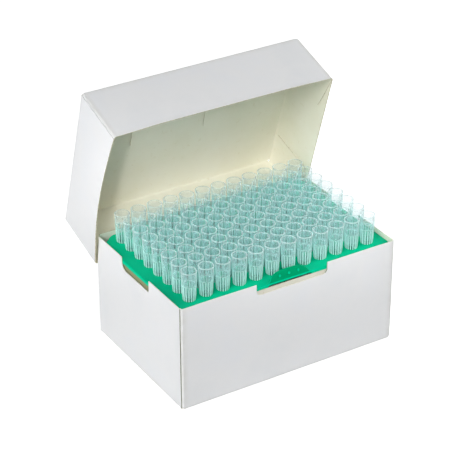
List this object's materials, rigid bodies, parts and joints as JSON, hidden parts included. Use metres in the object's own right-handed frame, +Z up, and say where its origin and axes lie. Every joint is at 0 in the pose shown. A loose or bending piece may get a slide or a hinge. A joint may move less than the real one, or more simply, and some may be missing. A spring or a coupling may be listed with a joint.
{
  "type": "box of pipette tips",
  "caption": "Hinged-lid paperboard carton, standing open, holding a moulded rack plate full of ribbed translucent pipette tips.",
  "frame": {"origin": "centre of the carton's underside, on the surface it stands on", "axes": "+X along the carton's long side to the right, +Y from the front wall to the lid's hinge, +Z up"},
  "size_m": [0.1242, 0.113, 0.1281],
  "materials": {
    "coated_board": "white clay-coated outside, cream uncoated inside",
    "liner_board": "uncoated grey-beige board",
    "rack_plastic": "satin moulded polypropylene",
    "tip_plastic": "translucent natural polypropylene"
  },
  "bodies": {
    "carton": {"carton_base": "coated_board", "inner_liner": "liner_board", "rack_plate": "rack_plastic", "tip_column_01": "tip_plastic", "tip_column_02": "tip_plastic", "tip_column_03": "tip_plastic", "tip_column_04": "tip_plastic", "tip_column_05": "tip_plastic", "tip_column_06": "tip_plastic", "tip_column_07": "tip_plastic", "tip_column_08": "tip_plastic", "tip_column_09": "tip_plastic", "tip_column_10": "tip_plastic", "tip_column_11": "tip_plastic", "tip_column_12": "tip_plastic"},
    "lid": {"carton_lid": "coated_board"}
  },
  "joints": [
    {"name": "lid_hinge", "type": "hinge", "parent": "carton", "child": "lid", "pos_m": [0, 0.0409, 0.0382], "axis": [1, 0, 0], "range_deg": [-107.5, 72.5]}
  ]
}
